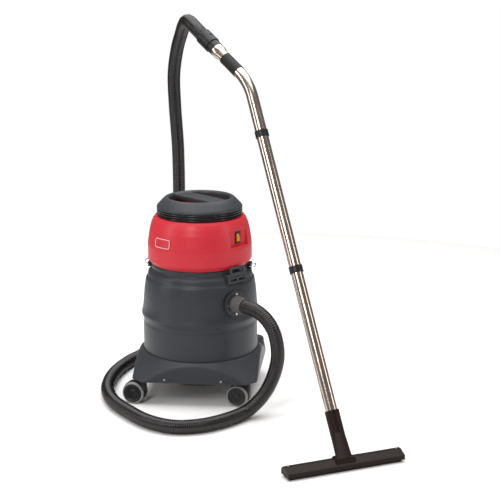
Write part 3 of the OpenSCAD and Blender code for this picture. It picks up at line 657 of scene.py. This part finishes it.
INLET_TURN = -46.5
INLET_Z = 0.350
BADGE_TURN = -128.5
BADGE_Z = 0.550
TANK_OUTLINE = [
    (0.004, 0.048), (0.1346, 0.048), (0.1448, 0.057), (0.1469, 0.114), (0.1897, 0.132), (0.1979, 0.143),
    (0.1981, 0.155), (0.1981, 0.248), (0.1967, 0.255), (0.1968, 0.263), (0.2000, 0.271), (0.2040, 0.281),
    (0.2040, 0.286), (0.2009, 0.297), (0.1981, 0.315), (0.1970, 0.329), (0.1952, 0.351), (0.1928, 0.375),
    (0.1896, 0.394), (0.1875, 0.407), (0.1822, 0.413), (0.1806, 0.421), (0.1788, 0.431), (0.1700, 0.4385),
    (0.1670, 0.441), (0.1670, 0.458), (0.1630, 0.458), (0.1630, 0.444), (0.1754, 0.433), (0.1765, 0.423),
    (0.1780, 0.415), (0.1856, 0.396), (0.1912, 0.351), (0.1940, 0.317), (0.2000, 0.285), (0.1928, 0.259),
    (0.1941, 0.157), (0.1939, 0.145), (0.1857, 0.134), (0.1429, 0.116), (0.1408, 0.061), (0.1316, 0.052),
    (0.004, 0.052)
]


def wall_radius(height):
    """How far the tank's outside is from its axis at a height in its upper half."""
    outside = TANK_OUTLINE[9:24]
    for (r0, z0), (r1, z1) in zip(outside, outside[1:]):
        if z0 <= height <= z1:
            return r0 + (r1 - r0) * (height - z0) / (z1 - z0)
    return outside[0][0]


def on_wall(turn, across, up, level, radius_at, out=0.0):
    """A point on a round wall, so far round and up it from a place on it."""
    radius = radius_at(level + up)
    angle = math.radians(turn) + across / radius
    return Vector(((radius + out) * math.cos(angle), (radius + out) * math.sin(angle), level + up))


def closed_line(points):
    return points + [points[0]]


def make_tank(finish):
    """The tank, with soft ribs round it, and two raised rings round the inlet."""
    tank = lathe("tank_shell", rounded(TANK_OUTLINE, 0.006, 4), 256, closed=False)
    finished(tank, finish, "machine", "anthracite", "tank")
    for i, size in enumerate((0.0485, 0.0565)):
        line = []
        for step in range(73):
            a = math.radians(5 * step)
            across, up = size * math.sin(a), size * math.cos(a)
            line.append(on_wall(INLET_TURN, across, up, INLET_Z, wall_radius, -0.0004))
        ring = tube("wall_ring_" + str(i + 1), line, 0.0020, resolution=3)
        finished(ring, finish, "machine", "anthracite")


def housing_radius(height):
    """How far the red housing's outside is from its axis at a height."""
    side = [
        (0.168, 0.461), (0.179, 0.476), (0.179, 0.5246), (0.1776, 0.5392), (0.1745, 0.5604),
        (0.171, 0.5816), (0.165, 0.6028), (0.159, 0.6159), (0.153, 0.624)
    ]
    for (r0, z0), (r1, z1) in zip(side, side[1:]):
        if z0 <= height <= z1:
            return r0 + (r1 - r0) * (height - z0) / (z1 - z0)
    return side[-1][0]


def make_badge_border(finish):
    """A thin pale line round the edge of the blank plate."""
    wide, high, corner = 0.0335, 0.0145, 0.007
    line = []
    for k in range(4):
        middle = ((wide - corner) * (1, -1, -1, 1)[k], (high - corner) * (1, 1, -1, -1)[k])
        for step in range(9):
            a = math.radians(90 * k + 11.25 * step)
            line.append((middle[0] + corner * math.cos(a), middle[1] + corner * math.sin(a)))
    flat = evenly([Vector((x, y, 0)) for x, y in closed_line(line)], 0.002)
    bent = [on_wall(BADGE_TURN, p.x, p.y, BADGE_Z, housing_radius, 0.0014) for p in flat]
    finished(tube("badge_border", bent, 0.0009, resolution=2), finish, "head", "white_plastic")


def finished(piece, finish, body, slot, *nodes):
    """Gives a piece its finish and its body, and hides the CAD nodes that it replaces."""
    piece.data.materials.clear()
    piece.data.materials.append(finish)
    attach(piece, body)
    if nodes:
        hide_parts(*nodes)
    return piece


def paint(finishes):
    """Gives each CAD node that stays in view its finish."""
    chosen = {
        "tank": "tank", "base": "base", "inlet_flange": "base", "latch_bracket": "base", "latch_frame": "base",
        "screws": "zinc", "tool_screws": "zinc", "latch_pin": "zinc", "wire_bail_right": "zinc",
        "wire_bail_left": "zinc", "plug_pins": "zinc", "bearings": "zinc", "rotor": "zinc", "tank_cuff": "grey",
        "swivel_ring": "white", "float": "white", "bail_brackets": "black", "head_plate": "black",
        "red_housing": "red", "badge_plate": "red", "lid": "lid", "tank_gasket": "rubber",
        "switch_bezel": "black", "rocker": "amber", "motor_casing": "grey", "fan": "grey", "stator": "copper",
        "exhaust_foam": "foam", "filter": "cloth", "float_cage": "black", "mains_cable": "cable",
        "cable_tail": "cable", "cable_gland": "black", "plug": "rubber", "hose": "hose", "wand_cuff": "black",
        "bent_tube": "steel", "tube_upper": "steel", "tube_lower": "steel", "grip": "rubber",
        "tube_collars": "black", "tool_neck": "tool", "tool_head": "tool", "squeegees": "rubber"
    }
    for name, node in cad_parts.items():
        if name in chosen:
            finish = finishes[chosen[name]]
        else:
            part = name.split("_")[-1]
            finish = finishes[{"hood": "black", "pins": "zinc", "wheels": "hub", "tyres": "tyre"}[part]]
        for i in range(len(node.data.materials)):
            node.data.materials[i] = finish


make_camera()
finishes = make_finishes()
make_hose(finishes["hose"])
make_cable(finishes["cable"], finishes["rubber"])
paint(finishes)
make_tank(finishes["tank"])
make_base(finishes["base"])
make_wand(finishes["steel"])
make_badge_border(finishes["white"])
make_lid(finishes["lid"])
make_studio()
